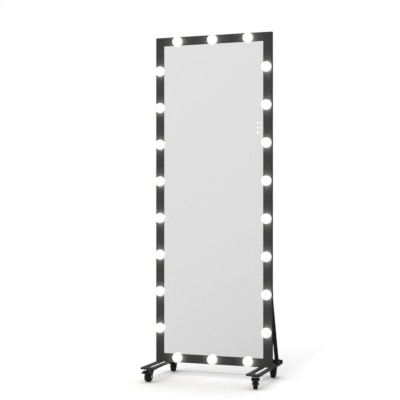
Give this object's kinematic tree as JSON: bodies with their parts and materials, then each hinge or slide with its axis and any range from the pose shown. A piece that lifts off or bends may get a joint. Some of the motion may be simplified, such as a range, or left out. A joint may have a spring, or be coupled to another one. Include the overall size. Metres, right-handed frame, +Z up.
{
  "type": "rolling floor mirror",
  "caption": "Tall framed floor mirror with round dressing lamps round its face, touch controls in the glass and a rolling base of ladder feet on braked swivel casters.",
  "frame": {"origin": "on the floor, under the middle of the base's footprint", "axes": "+Z up; -Y is the front, the way the glass faces; +X to the right as seen from the front"},
  "size_m": [0.5958, 0.4057, 1.6725],
  "materials": {
    "powder_coat": "satin",
    "cover_paint": "matte",
    "mirror_silver": "polished",
    "foam_tape": "matte",
    "backing_board": "matte",
    "opal_globe": "gloss",
    "white_plastic": "satin",
    "lamp_board": "satin",
    "circuit_board": "satin",
    "black_plastic": "satin",
    "cable_sheath": "satin",
    "bright_zinc": "satin",
    "dark_zinc": "satin",
    "caster_steel": "satin",
    "caster_wheel": "satin"
  },
  "bodies": {
    "frame_and_base": {"left_stile": "powder_coat", "right_stile": "powder_coat", "top_rail": "powder_coat", "bottom_rail": "powder_coat", "corner_brackets": "dark_zinc", "mirror_glass": "mirror_silver", "glass_tape": "foam_tape", "backing_board": "backing_board", "rear_cover": "cover_paint", "frame_screws": "dark_zinc", "left_globes": "opal_globe", "right_globes": "opal_globe", "top_globes": "opal_globe", "bottom_globes": "opal_globe", "lamp_bases": "white_plastic", "lamp_led_boards": "lamp_board", "lamp_holders": "white_plastic", "wiring_loom": "cable_sheath", "touch_board": "circuit_board", "dimmer_box": "black_plastic", "power_inlet": "bright_zinc", "inlet_nut": "bright_zinc", "left_outer_bar": "powder_coat", "left_inner_bar": "powder_coat", "left_front_tie": "powder_coat", "left_rear_tie": "powder_coat", "right_outer_bar": "powder_coat", "right_inner_bar": "powder_coat", "right_front_tie": "powder_coat", "right_rear_tie": "powder_coat", "rear_crossbar": "powder_coat", "tube_caps": "black_plastic", "left_stay": "powder_coat", "right_stay": "powder_coat", "frame_bolts": "bright_zinc", "stay_screws": "bright_zinc", "crossbar_bolts": "bright_zinc", "caster_bolts": "dark_zinc", "kingpins": "dark_zinc", "bearing_balls": "bright_zinc", "front_left_plate": "caster_steel", "front_right_plate": "caster_steel", "rear_left_plate": "caster_steel", "rear_right_plate": "caster_steel"},
    "front_left_swivel": {"front_left_fork": "caster_steel", "front_left_axle": "bright_zinc"},
    "front_left_roller": {"front_left_wheel": "caster_wheel"},
    "front_left_brake": {"front_left_pedal": "caster_steel"},
    "front_right_swivel": {"front_right_fork": "caster_steel", "front_right_axle": "bright_zinc"},
    "front_right_roller": {"front_right_wheel": "caster_wheel"},
    "front_right_brake": {"front_right_pedal": "caster_steel"},
    "rear_left_swivel": {"rear_left_fork": "caster_steel", "rear_left_axle": "bright_zinc"},
    "rear_left_roller": {"rear_left_wheel": "caster_wheel"},
    "rear_left_brake": {"rear_left_pedal": "caster_steel"},
    "rear_right_swivel": {"rear_right_fork": "caster_steel", "rear_right_axle": "bright_zinc"},
    "rear_right_roller": {"rear_right_wheel": "caster_wheel"},
    "rear_right_brake": {"rear_right_pedal": "caster_steel"}
  },
  "joints": [
    {"name": "front_left_swivel_turn", "type": "hinge", "parent": "frame_and_base", "child": "front_left_swivel", "pos_m": [-0.2635, -0.156, 0.0586], "axis": [0, 0, 1], "continuous": true},
    {"name": "front_left_wheel_roll", "type": "hinge", "parent": "front_left_swivel", "child": "front_left_roller", "pos_m": [-0.26573, -0.17184, 0.025], "axis": [0.9903, -0.1392, 0], "continuous": true},
    {"name": "front_left_brake_press", "type": "hinge", "parent": "front_left_swivel", "child": "front_left_brake", "pos_m": [-0.26698, -0.18076, 0.044], "axis": [0.9903, -0.1392, 0], "range_deg": [0, 15]},
    {"name": "front_right_swivel_turn", "type": "hinge", "parent": "frame_and_base", "child": "front_right_swivel", "pos_m": [0.2635, -0.156, 0.0586], "axis": [0, 0, 1], "continuous": true},
    {"name": "front_right_wheel_roll", "type": "hinge", "parent": "front_right_swivel", "child": "front_right_roller", "pos_m": [0.26818, -0.1713, 0.025], "axis": [0.9563, 0.2924, 0], "continuous": true},
    {"name": "front_right_brake_press", "type": "hinge", "parent": "front_right_swivel", "child": "front_right_brake", "pos_m": [0.27081, -0.17991, 0.044], "axis": [0.9563, 0.2924, 0], "range_deg": [0, 15]},
    {"name": "rear_left_swivel_turn", "type": "hinge", "parent": "frame_and_base", "child": "rear_left_swivel", "pos_m": [-0.2635, 0.156, 0.0586], "axis": [0, 0, 1], "continuous": true},
    {"name": "rear_left_wheel_roll", "type": "hinge", "parent": "rear_left_swivel", "child": "rear_left_roller", "pos_m": [-0.26127, 0.14016, 0.025], "axis": [0.9903, 0.1392, 0], "continuous": true},
    {"name": "rear_left_brake_press", "type": "hinge", "parent": "rear_left_swivel", "child": "rear_left_brake", "pos_m": [-0.26002, 0.13124, 0.044], "axis": [0.9903, 0.1392, 0], "range_deg": [0, 15]},
    {"name": "rear_right_swivel_turn", "type": "hinge", "parent": "frame_and_base", "child": "rear_right_swivel", "pos_m": [0.2635, 0.156, 0.0586], "axis": [0, 0, 1], "continuous": true},
    {"name": "rear_right_wheel_roll", "type": "hinge", "parent": "rear_right_swivel", "child": "rear_right_roller", "pos_m": [0.26462, 0.14004, 0.025], "axis": [0.9976, 0.0698, 0], "continuous": true},
    {"name": "rear_right_brake_press", "type": "hinge", "parent": "rear_right_swivel", "child": "rear_right_brake", "pos_m": [0.26524, 0.13106, 0.044], "axis": [0.9976, 0.0698, 0], "range_deg": [0, 15]}
  ]
}
